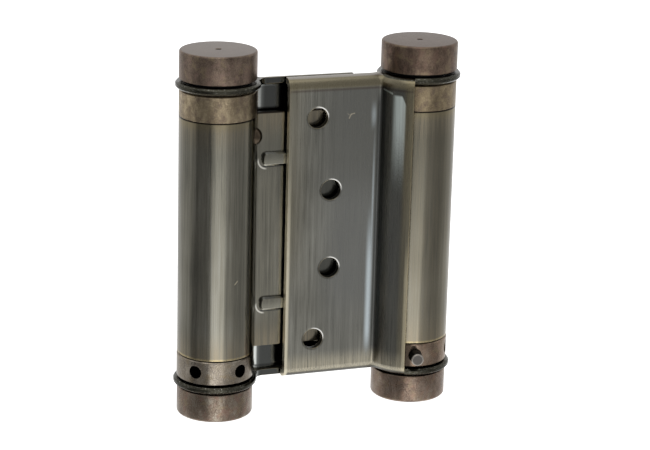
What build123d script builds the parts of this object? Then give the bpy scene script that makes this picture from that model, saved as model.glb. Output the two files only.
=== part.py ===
from build123d import *

import math
import os

# A double action spring hinge in pressed sheet, with two spring barrels. X runs from the left
# barrel to the right one, Y runs through the closed leaves from front to back, and Z is up.
# The origin is on the ground, midway between the two barrel axes.
# Half a turn about the upright middle axis brings the hinge onto itself, so each piece is
# modelled once for the right barrel and the front leaf, and then turned for the other side.

# Driving sizes of the barrels, in millimetres
BARREL_RADIUS = 9.5
AXIS_SPACING = 52.0
BAND_HEIGHT = 6.45
COLLAR_STEP = 0.1
CAP_HEIGHT = 7.15
CAP_CHAMFER = 0.4
CAP_GAP = 0.55
BAND_GAP = 0.35
BAND_CHAMFER = 0.3

# The centre leaf, one sheet whose ends are rolled into the two tubes
WEB_SHEET = 1.2
WEB_BEND_RADIUS = 1.0
SEAM_GAP = 0.25
RIB_LEVELS = (18.4, -19.0)
RIB_HEIGHT = 3.5
RIB_LENGTH = 11.0
RIB_FROM_AXIS = 11.1
RIB_CLEARANCE = 0.3
RIB_CORNER_RADIUS = 1.3
RIB_CHAMFER = 0.5
RIB_WALL = 0.7

# The two swinging leaves
LEAF_SHEET = 1.6
LEAF_HEIGHT = 77.2
LEAF_REACH = 34.8
LEAF_GAP = 1.25
LEAF_BEND_RADIUS = 0.9
LIP_GAP = 0.35
WRAP_CLEARANCE = 0.4
WRAP_END_ANGLE = 64.0
EAR_OVERHANG = 0.9
EAR_CHAMFER = 0.45
EAR_ROOT_RADIUS = 2.5
SCREW_HOLE_RADIUS = 2.6
OUTER_HOLE_REACH = 27.4
OUTER_HOLE_HEIGHT = 28.6
INNER_HOLE_REACH = 23.6
INNER_HOLE_HEIGHT = 10.1

# Journals, spindles and washers
JOURNAL_RADIUS = 4.05
JOURNAL_GAP = 0.3
SPINDLE_RADIUS = 2.5
SPINDLE_SOCKET = 4.0
SPINDLE_END_GAP = 0.3
SPINDLE_CHAMFER = 0.4
RUNNING_CLEARANCE = 0.05
WASHER_SHEET = 0.3
WASHER_INSET = 1.3
CENTRE_MARK_RADIUS = 0.75
CENTRE_MARK_DEPTH = 0.5

# Spring plugs and their rivets
SPIGOT_CLEARANCE = 0.08
PLUG_SPIGOT = 10.0
RIVET_DROP = 5.1
RIVET_ANGLE = 155.0
RIVET_HEAD_RADIUS = 2.2
RIVET_HEAD_HEIGHT = 1.5
RIVET_RADIUS = 1.4
RIVET_GRIP = 4.0

# Tension collars and their pins
COLLAR_SPIGOT = 6.0
COLLAR_TURN_GAP = 0.3
TOMMY_HOLES = 5
TOMMY_HOLE_RADIUS = 1.7
TOMMY_HOLE_DEPTH = 5.0
PIN_RADIUS = 1.58
PIN_ANGLE = 259.0
PIN_STAND = 3.6
PIN_END_GAP = 0.4
PIN_CHAMFER = 0.2

# Torsion springs
SPRING_WIRE = 2.0
SPRING_CLEARANCE = 0.9
SPRING_TURNS = 12
SPRING_SIDES = 16
SPRING_END_GAP = 0.4
SPRING_LEG_RADIUS = 0.9
SPRING_LEG = 4.0
SPRING_HOLE_CLEARANCE = 0.15

# Sizes that follow from the ones above
AXIS_X = AXIS_SPACING / 2
TUBE_INNER_RADIUS = BARREL_RADIUS - WEB_SHEET
SPRING_RADIUS = TUBE_INNER_RADIUS - SPRING_CLEARANCE - SPRING_WIRE / 2
WASHER_RADIUS = BARREL_RADIUS - WASHER_INSET
COLLAR_RADIUS = BARREL_RADIUS + COLLAR_STEP
EAR_RADIUS = BARREL_RADIUS + EAR_OVERHANG
WRAP_RADIUS = BARREL_RADIUS + WRAP_CLEARANCE + LEAF_SHEET
LEAF_FACE = WEB_SHEET / 2 + LEAF_GAP + LEAF_SHEET
FREE_EDGE_X = AXIS_X - LEAF_REACH
RIB_BACK = WEB_SHEET / 2 + LEAF_GAP - RIB_CLEARANCE

# Levels above and below the middle of the hinge
EAR_OUTER = LEAF_HEIGHT / 2
EAR_INNER = EAR_OUTER - LEAF_SHEET
BAND_END = EAR_INNER - BAND_GAP
TUBE_END = BAND_END - BAND_HEIGHT
CAP_FACE = EAR_OUTER + CAP_GAP
CAP_TOP = CAP_FACE + CAP_HEIGHT
SPINDLE_END = CAP_FACE + SPINDLE_SOCKET
COIL_TOP = TUBE_END - PLUG_SPIGOT - SPRING_END_GAP - SPRING_WIRE / 2
COIL_BOTTOM = -TUBE_END + COLLAR_SPIGOT + SPRING_END_GAP + SPRING_WIRE / 2
TOMMY_LEVEL = -(TUBE_END + BAND_HEIGHT / 2)


def around(centre, radius, angle):
    """The point of a circle at an angle in degrees."""
    turn = math.radians(angle)
    return (centre[0] + radius * math.cos(turn), centre[1] + radius * math.sin(turn))


def half_turn(shape):
    """The same piece for the other barrel and leaf."""
    return Rot(0, 0, 180) * shape


def rod(radius, low, high):
    """An upright cylinder on the right barrel's axis, between two levels."""
    return Pos(AXIS_X, 0, (low + high) / 2) * Cylinder(radius, high - low)


def spoke(radius, start, end, angle, level):
    """A level cylinder that points outwards from the right barrel's axis."""
    bar = Pos((start + end) / 2, 0, 0) * Rot(0, 90, 0) * Cylinder(radius, end - start)
    return Pos(AXIS_X, 0, level) * Rot(0, 0, angle) * bar


def web_half():
    """The outline edges of half the centre leaf: one long face, the bend, the roll and its seam."""
    axis = (AXIS_X, 0)
    half_sheet = WEB_SHEET / 2
    bend_rise = half_sheet + WEB_BEND_RADIUS
    bend_x = AXIS_X - math.sqrt((BARREL_RADIUS + WEB_BEND_RADIUS) ** 2 - bend_rise**2)
    bend = (bend_x, bend_rise)
    bend_turn = math.degrees(math.atan2(bend_rise, AXIS_X - bend_x))
    root_angle = 180 - bend_turn
    seam_angle = 180 + math.degrees(math.asin((half_sheet + SEAM_GAP) / TUBE_INNER_RADIUS))
    roll = root_angle - (seam_angle - 360)
    return [
        Line((-bend_x, half_sheet), (bend_x, half_sheet)),
        CenterArc(bend, WEB_BEND_RADIUS, -90, 90 - bend_turn),
        CenterArc(axis, BARREL_RADIUS, root_angle, -roll),
        Line(around(axis, BARREL_RADIUS, seam_angle), around(axis, TUBE_INNER_RADIUS, seam_angle)),
        CenterArc(axis, TUBE_INNER_RADIUS, seam_angle, roll),
        CenterArc(bend, WEB_BEND_RADIUS + WEB_SHEET, -bend_turn, bend_turn - 90),
    ]


def rib(inset, start, end, level):
    """A round-cornered bar between two depths, its outline moved in by an inset."""
    middle_x = AXIS_X - RIB_FROM_AXIS - RIB_LENGTH / 2
    outline = RectangleRounded(
        RIB_LENGTH - 2 * inset, RIB_HEIGHT - 2 * inset, RIB_CORNER_RADIUS - inset
    )
    return extrude(Pos(middle_x, start, level) * Rot(-90, 0, 0) * outline, amount=end - start)


def centre_leaf():
    """One folded sheet: the ribbed web, with each end rolled into a spring tube."""
    half = web_half()
    outline = half + [half_turn(edge) for edge in half]
    sheet = extrude(make_face(Wire(outline)), amount=TUBE_END, both=True)
    for level in RIB_LEVELS:
        raised = rib(0, 0, RIB_BACK, level)
        raised = chamfer(raised.faces().sort_by(Axis.Y)[-1].edges(), RIB_CHAMFER)
        hollow = rib(RIB_WALL, -WEB_SHEET, RIB_BACK - WEB_SHEET, level)
        sheet = sheet + raised + half_turn(raised) - hollow - half_turn(hollow)
    hole = rivet_hole()
    return sheet - hole - half_turn(hole)


def leaf_plan(inset, overrun):
    """The area behind the front leaf's outer face, moved in by an inset and run past its ends."""
    axis = (AXIS_X, 0)
    face = -LEAF_FACE + inset
    bend_drop = LEAF_FACE + LEAF_BEND_RADIUS
    bend_x = AXIS_X - math.sqrt((WRAP_RADIUS + LEAF_BEND_RADIUS) ** 2 - bend_drop**2)
    bend_turn = math.degrees(math.atan2(bend_drop, AXIS_X - bend_x))
    wrap_start = 180 + bend_turn
    wrap_end = 180 + WRAP_END_ANGLE + overrun
    start = (FREE_EDGE_X - overrun, face)
    edges = [
        Line(start, (bend_x, face)),
        CenterArc((bend_x, -bend_drop), LEAF_BEND_RADIUS + inset, 90, bend_turn - 90),
        CenterArc(axis, WRAP_RADIUS - inset, wrap_start, wrap_end - wrap_start),
        Line(around(axis, WRAP_RADIUS - inset, wrap_end), (AXIS_X + overrun, overrun)),
        Line((AXIS_X + overrun, overrun), (FREE_EDGE_X - overrun, overrun)),
        Line((FREE_EDGE_X - overrun, overrun), start),
    ]
    return make_face(Wire(edges))


def leaf_block(inset, overrun):
    """The plan raised to the leaf's height, its face rounded over at top and bottom."""
    half_height = EAR_OUTER - inset
    block = extrude(leaf_plan(inset, overrun), amount=half_height, both=True)
    face = -LEAF_FACE + inset
    rims = [
        edge
        for edge in block.edges()
        if abs(abs(edge.center().Z) - half_height) < 0.01
        and (edge.geom_type == GeomType.CIRCLE or abs(edge.center().Y - face) < 0.01)
    ]
    return fillet(rims, LEAF_BEND_RADIUS + LEAF_SHEET - inset)


def ear_root():
    """The area between a lip's straight edge and its ear, with the hollow curve that joins them."""
    centre_y = EAR_ROOT_RADIUS - LIP_GAP
    centre_x = AXIS_X - math.sqrt((EAR_RADIUS + EAR_ROOT_RADIUS) ** 2 - centre_y**2)
    centre = (centre_x, centre_y)
    turn = math.degrees(math.atan2(centre_y, AXIS_X - centre_x))
    on_lip = (centre_x, -LIP_GAP)
    on_ear = around(centre, EAR_ROOT_RADIUS, -turn)
    inside = (AXIS_X - JOURNAL_RADIUS - LEAF_SHEET, -LIP_GAP)
    hollow = CenterArc(centre, EAR_ROOT_RADIUS, -90, 90 - turn)
    return make_face(Wire([hollow, Line(on_ear, inside), Line(inside, on_lip)]))


def ears():
    """The round ends of the lips, which carry the leaf at the top and bottom of its barrel."""
    inside_wrap = extrude(leaf_plan(0, 0), amount=LEAF_HEIGHT, both=True)
    pair = []
    for level in (EAR_OUTER - LEAF_SHEET / 2, LEAF_SHEET / 2 - EAR_OUTER):
        disc = Cylinder(EAR_RADIUS, LEAF_SHEET)
        disc = Pos(AXIS_X, 0, level) * chamfer(disc.edges(), EAR_CHAMFER)
        root = Pos(0, 0, level) * extrude(ear_root(), amount=LEAF_SHEET / 2, both=True)
        pair.append(disc - inside_wrap + root)
    return pair


def front_leaf():
    """One stamped sheet: plate, top and bottom lips, a wrap round the barrel and two ears."""
    sheet = leaf_block(0, 0) - leaf_block(LEAF_SHEET, 5.0)
    behind_lips = Pos(FREE_EDGE_X, AXIS_X - LIP_GAP, 0) * Box(
        2 * LEAF_REACH, 2 * AXIS_X, 2 * LEAF_HEIGHT
    )
    sheet -= behind_lips - rod(EAR_RADIUS, -LEAF_HEIGHT, LEAF_HEIGHT)
    for ear in ears():
        sheet += ear
    sheet -= rod(JOURNAL_RADIUS + RUNNING_CLEARANCE, -LEAF_HEIGHT, LEAF_HEIGHT)
    holes = ((OUTER_HOLE_REACH, OUTER_HOLE_HEIGHT), (INNER_HOLE_REACH, INNER_HOLE_HEIGHT))
    for reach, height in holes:
        for level in (-height, height):
            drill = Rot(90, 0, 0) * Cylinder(SCREW_HOLE_RADIUS, 4 * LEAF_SHEET)
            sheet -= Pos(AXIS_X - reach, -LEAF_FACE, level) * drill
    return sheet


def rivet_hole():
    """The hole through the tube wall and into the plug."""
    level = TUBE_END - RIVET_DROP
    start = BARREL_RADIUS - RIVET_GRIP - RUNNING_CLEARANCE
    radius = RIVET_RADIUS + RUNNING_CLEARANCE
    return spoke(radius, start, BARREL_RADIUS + 1, RIVET_ANGLE, level)


def plug_rivet():
    """A domed rivet that holds the spring plug in the tube."""
    dome_radius = (RIVET_HEAD_RADIUS**2 + RIVET_HEAD_HEIGHT**2) / (2 * RIVET_HEAD_HEIGHT)
    crown = BARREL_RADIUS + RIVET_HEAD_HEIGHT
    ball = Pos(crown - dome_radius, 0, 0) * Sphere(dome_radius)
    head = ball & (Pos(crown, 0, 0) * Rot(0, 90, 0) * Cylinder(RIVET_HEAD_RADIUS, 4 * RIVET_HEAD_HEIGHT))
    head -= Cylinder(BARREL_RADIUS + RUNNING_CLEARANCE / 2, 4 * RIVET_HEAD_RADIUS)
    level = TUBE_END - RIVET_DROP
    head = Pos(AXIS_X, 0, level) * Rot(0, 0, RIVET_ANGLE) * head
    shank_start = BARREL_RADIUS - RIVET_GRIP
    return head + spoke(RIVET_RADIUS, shank_start, crown - RIVET_HEAD_HEIGHT / 2, RIVET_ANGLE, level)


def spring_leg_hole(low, high):
    """The socket for a bent end of the spring, in the plug or the collar."""
    radius = SPRING_LEG_RADIUS + SPRING_HOLE_CLEARANCE
    return Pos(SPRING_RADIUS, 0, 0) * rod(radius, low, high)


def spring_plug():
    """The fixed upper end of the spring barrel: a plain band with a spigot in the tube."""
    band = rod(BARREL_RADIUS, TUBE_END, BAND_END)
    band = chamfer(band.edges().group_by(Axis.Z)[-1], BAND_CHAMFER)
    spigot_end = TUBE_END - PLUG_SPIGOT
    plug = band + rod(TUBE_INNER_RADIUS - SPIGOT_CLEARANCE, spigot_end, TUBE_END)
    plug -= rod(SPINDLE_RADIUS + RUNNING_CLEARANCE, spigot_end - 1, BAND_END + 1)
    plug -= spring_leg_hole(spigot_end - 1, spigot_end + SPRING_LEG)
    return plug - rivet_hole()


def tommy_holes():
    """The holes round the tension collar, one of which holds the pin."""
    start = COLLAR_RADIUS - TOMMY_HOLE_DEPTH
    holes = []
    for index in range(TOMMY_HOLES):
        angle = PIN_ANGLE + 360 * index / TOMMY_HOLES
        holes.append(spoke(TOMMY_HOLE_RADIUS, start, COLLAR_RADIUS + 1, angle, TOMMY_LEVEL))
    return holes


def tension_collar():
    """The turning lower end of the spring barrel, with a ring of tommy holes."""
    top = -TUBE_END - COLLAR_TURN_GAP
    spigot_end = -TUBE_END + COLLAR_SPIGOT
    band = rod(COLLAR_RADIUS, -BAND_END, top)
    band = chamfer(band.edges().filter_by(GeomType.CIRCLE), BAND_CHAMFER)
    collar = band + rod(TUBE_INNER_RADIUS - SPIGOT_CLEARANCE, top - 1, spigot_end)
    collar -= rod(SPINDLE_RADIUS + RUNNING_CLEARANCE, -BAND_END - 1, spigot_end + 1)
    collar -= spring_leg_hole(spigot_end - SPRING_LEG, spigot_end + 1)
    for hole in tommy_holes():
        collar -= hole
    return collar


def tension_pin():
    """A plain pin in one tommy hole, which bears on the leaf's rolled edge."""
    start = COLLAR_RADIUS - TOMMY_HOLE_DEPTH + PIN_END_GAP
    pin = spoke(PIN_RADIUS, start, COLLAR_RADIUS + PIN_STAND, PIN_ANGLE, TOMMY_LEVEL)
    return chamfer(pin.edges().filter_by(GeomType.CIRCLE), PIN_CHAMFER)


def top_cap():
    """A turned cap with the journal that carries the upper ear."""
    button = rod(BARREL_RADIUS, CAP_FACE, CAP_TOP)
    rims = button.edges().group_by(Axis.Z)
    button = chamfer(rims[-1], CAP_CHAMFER)
    button = chamfer(button.edges().group_by(Axis.Z)[0], BAND_CHAMFER)
    cap = button + rod(JOURNAL_RADIUS, BAND_END + JOURNAL_GAP, CAP_FACE)
    cap -= rod(SPINDLE_RADIUS + RUNNING_CLEARANCE, BAND_END, SPINDLE_END + SPINDLE_END_GAP)
    return cap


def marked_cap():
    """The upper cap, which shows the small drilled mark of its turning centre."""
    mark = Pos(AXIS_X, 0, CAP_TOP - CENTRE_MARK_DEPTH / 2) * Cone(
        CENTRE_MARK_RADIUS / 3, CENTRE_MARK_RADIUS, CENTRE_MARK_DEPTH
    )
    return top_cap() - mark


def bottom_cap():
    """The same cap without the mark, facing down."""
    return mirror(top_cap(), about=Plane.XY)


def spindle():
    """The rod through the barrel, fixed in both caps."""
    bar = rod(SPINDLE_RADIUS, -SPINDLE_END, SPINDLE_END)
    return chamfer(bar.edges().filter_by(GeomType.CIRCLE), SPINDLE_CHAMFER)


def thrust_washer(side):
    """A washer between an ear and its cap, above the middle for side 1 and below for side -1."""
    middle = side * (EAR_OUTER + CAP_GAP / 2)
    half_sheet = WASHER_SHEET / 2
    washer = rod(WASHER_RADIUS, middle - half_sheet, middle + half_sheet)
    return washer - rod(JOURNAL_RADIUS + RUNNING_CLEARANCE, middle - 1, middle + 1)


def wire_corners(turns):
    """The corners of the square wire's section, a number of turns up the left-hand coil."""
    level = COIL_BOTTOM + (COIL_TOP - COIL_BOTTOM) * turns / SPRING_TURNS
    half = SPRING_WIRE / 2
    corners = []
    for out, up in ((-half, -half), (half, -half), (half, half), (-half, half)):
        x, y = around((AXIS_X, 0), SPRING_RADIUS + out, -360 * turns)
        corners.append((x, y, level + up))
    return corners


def flat_face(*points):
    """A flat face with the given corners."""
    return Face(Wire(Polyline(*points, close=True)))


def coil():
    """The coiled wire in short straight lengths, so that each of its faces is flat."""
    steps = range(SPRING_TURNS * SPRING_SIDES + 1)
    sections = [wire_corners(step / SPRING_SIDES) for step in steps]
    faces = [flat_face(*sections[0]), flat_face(*sections[-1])]
    for near, far in zip(sections, sections[1:]):
        faces.append(flat_face(near[0], far[0], far[3], near[3]))
        faces.append(flat_face(near[1], far[1], far[2], near[2]))
        for inner, outer in ((0, 1), (3, 2)):
            faces.append(flat_face(near[inner], near[outer], far[outer]))
            faces.append(flat_face(near[inner], far[outer], far[inner]))
    return Solid(Shell(faces))


def torsion_spring():
    """A left-hand spring in square wire, with a leg in the plug and one in the collar."""
    spigot_low = -TUBE_END + COLLAR_SPIGOT
    spigot_high = TUBE_END - PLUG_SPIGOT
    reach = SPRING_LEG - SPRING_END_GAP
    at_leg = Pos(SPRING_RADIUS, 0, 0)
    low_leg = at_leg * rod(SPRING_LEG_RADIUS, spigot_low - reach, COIL_BOTTOM)
    high_leg = at_leg * rod(SPRING_LEG_RADIUS, COIL_TOP, spigot_high + reach)
    return coil() + low_leg + high_leg


def save(name, shape):
    """Stand the piece on the ground and write it to its own file."""
    export_step(Pos(0, 0, CAP_TOP) * shape, f"parts/{name}.step")


def main():
    os.makedirs("parts", exist_ok=True)
    leaf = front_leaf()
    save("centre_leaf", centre_leaf())
    save("front_leaf", leaf)
    save("back_leaf", half_turn(leaf))
    barrel_pieces = {
        "top_cap": marked_cap(),
        "bottom_cap": bottom_cap(),
        "spindle": spindle(),
        "top_washer": thrust_washer(1),
        "bottom_washer": thrust_washer(-1),
        "spring_plug": spring_plug(),
        "plug_rivet": plug_rivet(),
        "tension_collar": tension_collar(),
        "tension_pin": tension_pin(),
        "torsion_spring": torsion_spring(),
    }
    for name, shape in barrel_pieces.items():
        save(f"right_{name}", shape)
        save(f"left_{name}", half_turn(shape))


main()
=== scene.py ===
import math

import bmesh
import bpy
import numpy as np
from mathutils import Matrix, Vector

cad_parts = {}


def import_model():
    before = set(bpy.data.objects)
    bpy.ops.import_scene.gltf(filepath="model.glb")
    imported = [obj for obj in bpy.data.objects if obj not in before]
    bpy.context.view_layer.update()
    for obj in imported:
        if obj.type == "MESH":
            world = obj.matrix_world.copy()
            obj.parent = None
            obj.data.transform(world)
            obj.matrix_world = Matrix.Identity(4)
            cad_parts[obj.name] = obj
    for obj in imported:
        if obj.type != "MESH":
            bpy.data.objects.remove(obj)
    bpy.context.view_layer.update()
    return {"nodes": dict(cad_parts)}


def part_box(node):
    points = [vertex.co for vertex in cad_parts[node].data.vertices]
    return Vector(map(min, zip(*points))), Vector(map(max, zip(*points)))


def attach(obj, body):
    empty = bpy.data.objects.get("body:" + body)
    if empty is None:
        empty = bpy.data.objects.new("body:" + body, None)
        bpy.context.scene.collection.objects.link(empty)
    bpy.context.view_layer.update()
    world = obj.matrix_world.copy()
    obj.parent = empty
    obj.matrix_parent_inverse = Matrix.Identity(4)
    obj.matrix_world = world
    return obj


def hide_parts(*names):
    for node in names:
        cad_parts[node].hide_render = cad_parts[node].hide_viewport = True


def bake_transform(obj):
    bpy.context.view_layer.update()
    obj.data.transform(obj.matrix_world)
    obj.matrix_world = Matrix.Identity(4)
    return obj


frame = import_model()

# A double action spring hinge that stands on its two bottom caps. The imported model keeps its
# shapes. This script gives it its plated finishes, turns its caps again with rounded rims, makes
# the springs in two halves, and adds the light and the camera. Lengths are in millimetres until a
# mesh or an object is made, and the finishes' heights go up and down from the hinge's middle.
MM = 0.001
MIDDLE_HEIGHT = 46.3

# Points of a made mesh that are nearer than this become one, and faces that meet at more than
# this angle, in degrees, meet in a sharp edge. The finishes round every sharp edge a little.
SAME_PLACE = 0.001
SHARP_ANGLE = 35.0
EDGE_ROUND = 0.12

# The camera, worked out from the photograph's picture of the hinge
CAMERA_PLACE = (-180.4, -514.7, 209.9)
CAMERA_YAW = 19.546
CAMERA_PITCH = 16.674
CAMERA_ROLL = 1.5
CAMERA_LENS = 126.2
SENSOR_WIDTH = 36.0

# The room's light by the angle round from the camera, in degrees, from -180 to 180. Positive
# angles are to the camera's right, as it looks at the hinge. Upright faces show the first list
# near their tops, where the camera looks down least, and the second near their feet. The third
# is the light over the horizon, and steep downward directions see an even light.
ROOM_STRENGTH = 2.0
ROOM_LIGHT_HIGH = (
    (-180, 0.44), (-150, 0.38), (-100, 0.30), (-66, 0.26), (-60, 0.08), (-14, 0.08), (0, 0.13),
    (6, 0.16), (11, 0.18), (18, 0.19), (34, 0.21), (43, 0.185), (56, 0.18), (70, 0.17), (88, 0.17),
    (100, 0.24), (120, 0.32), (150, 0.44), (180, 0.44),
)
ROOM_LIGHT_LOW = (
    (-180, 0.48), (-150, 0.42), (-82, 0.26), (-72, 0.06), (-58, 0.06), (-50, 0.12), (-16, 0.13),
    (-6, 0.95), (25, 0.95), (34, 0.35), (45, 0.33), (62, 0.22), (85, 0.20), (100, 0.24),
    (120, 0.34), (150, 0.46), (180, 0.48),
)
ROOM_LIGHT_ABOVE = (
    (-180, 0.40), (-120, 0.36), (-60, 0.18), (60, 0.18), (120, 0.36), (180, 0.40),
)
ROOM_LIGHT_BELOW = (0.5, 0.5, 0.5, 1.0)

# Where one light gives way to the next, by the sine of the direction's height
FEET_TO_TOPS = (-math.sin(math.radians(20.0)), -math.sin(math.radians(12.5)))
EVEN_BELOW = (-0.40, -0.58)
HORIZON = (-0.10, 0.05)

# Where the leaves' zones lie. The angle goes round the leaf's own barrel, from straight out.
AXIS_X = 26.0
FREE_EDGE = -8.8
WRAP_START = 14.6
WRAP_EDGE = -116.0
EAR_RADIUS = 10.4
EAR_LEVEL = 36.5
SHADE_END = -152.0
PALE_FROM = -142.0
PALE_TO = -126.0
PALE_TOP = 34.5
FOOT_TOP = -31.5
FOOT_BEND = -36.9
HEAD_BEND = 35.4
LIP_LEVEL = 38.2
HOLES = ((-1.4, 28.6), (2.4, 10.1), (2.4, -10.1), (-1.4, -28.6))
HOLE_RADIUS = 2.6
SCRATCH_WIDTH = 0.16
SCRATCHES = (
    ((6.3, 29.3), (6.8, 28.9), 0.3),
    ((6.7, 28.1), (7.2, 29.1), 0.8),
    ((7.2, 29.1), (8.1, 29.3), 0.8),
)

# The centre leaf's web and ribs, a scratch on its left tube, and the tubes' and bands' radius
WEB_FACE = 0.6
WEB_END = 15.4
RIB_LEVELS = (18.4, -19.0)
RIB_END = 14.3
RIB_REACH = 2.1
TUBE_SCRATCH = ((-23.9, -10.6), (-23.2, -9.8))
BAND_RADIUS = 9.5

# Turned caps
CAP_HEIGHT = 7.15
CAP_RIM_ROUND = 0.6
CAP_FOOT_ROUND = 0.3
JOURNAL_RADIUS = 4.05
BORE_RADIUS = 2.55
BORE_DEPTH = 4.3
DIMPLE_RADIUS = 0.8
DIMPLE_DEPTH = 0.55
ARC_POINTS = 9
AROUND = 160

# The tension pins
PIN_RADIUS = 1.58

# The torsion springs, in square wire
SPRING_RADIUS = 6.4
SPRING_WIRE = 2.0
SPRING_TURNS = 12
SPRING_STEPS = 24
COIL_LOW = -22.8
COIL_HIGH = 18.8
SPRING_LEG = 5.0
SPRING_LEG_RADIUS = 0.9
LEG_SIDES = 16

# Colours of the platings, and of the light and shade painted onto them, as parts of full reflection
OLIVE_DARK = (0.135, 0.133, 0.112)
OLIVE_MIDDLE = (0.235, 0.230, 0.200)
TUBE_OLIVE = (0.240, 0.229, 0.188)
TUBE_BROWN = (0.250, 0.215, 0.150)
OLIVE_PALE = (0.34, 0.335, 0.295)
STEEL_BLUE = (0.190, 0.200, 0.208)
# Painted sheen and glint on the wrap
SHEEN_BLUE = (0.72, 0.79, 0.76)
# Painted highlight by the plate's crease
HIGHLIGHT_BLUE = (0.69, 0.77, 0.80)
WORN_BRASS = (0.52, 0.43, 0.25)
DULL_BRASS = (0.30, 0.255, 0.155)
CREAM = (0.64, 0.58, 0.44)
# Painted shade: the dark put in creases, bends, holes, along rib edges, on the web behind the
# leaves, on the pins' sides and in a cap's turning mark
PAINTED_SHADE = (0.055, 0.058, 0.056)
# Painted highlights on the leaves' inner faces
INSIDE_HIGHLIGHT = (0.44, 0.45, 0.43)
INSIDE_SOFT_HIGHLIGHT = (0.22, 0.23, 0.22)
INSIDE_DARK = (0.085, 0.088, 0.084)
EDGE_GOLD = (0.56, 0.50, 0.35)
PALE_GOLD = (0.78, 0.72, 0.56)
WARM_OLIVE = (0.32, 0.285, 0.205)
LIP_GREY = (0.37, 0.345, 0.31)
CAP_GREY = (0.285, 0.262, 0.250)
EAR_DARK = (0.046, 0.043, 0.031)
BROWN_DARK = (0.095, 0.070, 0.055)
BROWN_MIDDLE = (0.195, 0.146, 0.113)
TAN_MIDDLE = (0.30, 0.235, 0.150)
GREY_MIDDLE = (0.32, 0.278, 0.228)
GREY_PALE = (0.52, 0.475, 0.395)
CAP_BROWN = (0.150, 0.118, 0.098)
# Dark seam lines, and a painted shadow beside the wrap on the collars
SEAM_AND_SHADOW_DARK = (0.030, 0.024, 0.018)
# Painted reflection on the ribs' lower half
RIB_SHEEN = (0.42, 0.41, 0.34)
# Painted highlights: glints on the ears and bright lines on the ribs
HIGHLIGHT_CREAM = (0.90, 0.88, 0.80)
PIN_GREY = (0.135, 0.126, 0.117)
PIN_RIM = (0.40, 0.37, 0.33)
# Painted highlight by the screw holes
HOLE_GLINT = (0.95, 0.95, 0.93)
WARM_DARK = (0.25, 0.21, 0.15)
WARM_PALE = (0.34, 0.30, 0.22)
RIVET_BROWN = (0.115, 0.088, 0.062)
BARE_STEEL = (0.10, 0.10, 0.10)
SPRING_STEEL = (0.25, 0.25, 0.27)

# The turned finishes. Each has its dark, middle and pale shades, the tint of its stains, its
# plainer top face and the roughness of its smoothest parts.
TURNED = {
    "right_brown": (
        ((0.075, 0.051, 0.040), (0.170, 0.121, 0.091), (0.33, 0.24, 0.175)),
        (0.24, 0.158, 0.120), CAP_BROWN, 0.30,
    ),
    "left_brown": (
        (BROWN_DARK, BROWN_MIDDLE, (0.36, 0.275, 0.210)),
        (0.28, 0.195, 0.160), CAP_GREY, 0.32,
    ),
    "right_foot_brown": (
        ((0.115, 0.080, 0.062), (0.240, 0.176, 0.135), (0.50, 0.42, 0.35)),
        (0.31, 0.205, 0.150), CAP_GREY, 0.18,
    ),
    "left_foot_brown": (
        ((0.130, 0.096, 0.074), (0.220, 0.168, 0.128), GREY_PALE),
        (0.27, 0.170, 0.130), CAP_GREY, 0.20,
    ),
    "right_tan": (
        ((0.15, 0.115, 0.075), TAN_MIDDLE, (0.60, 0.48, 0.30)),
        BROWN_MIDDLE, TAN_MIDDLE, 0.24,
    ),
    "left_tan": (
        ((0.18, 0.140, 0.095), (0.37, 0.295, 0.195), (0.72, 0.59, 0.39)),
        BROWN_MIDDLE, TAN_MIDDLE, 0.24,
    ),
    "right_grey": (
        ((0.135, 0.095, 0.070), (0.270, 0.200, 0.150), (0.46, 0.36, 0.28)),
        (0.30, 0.195, 0.135), GREY_MIDDLE, 0.16,
    ),
    "left_grey": (
        ((0.17, 0.145, 0.120), GREY_MIDDLE, GREY_PALE),
        (0.27, 0.228, 0.170), GREY_MIDDLE, 0.14,
    ),
}


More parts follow.
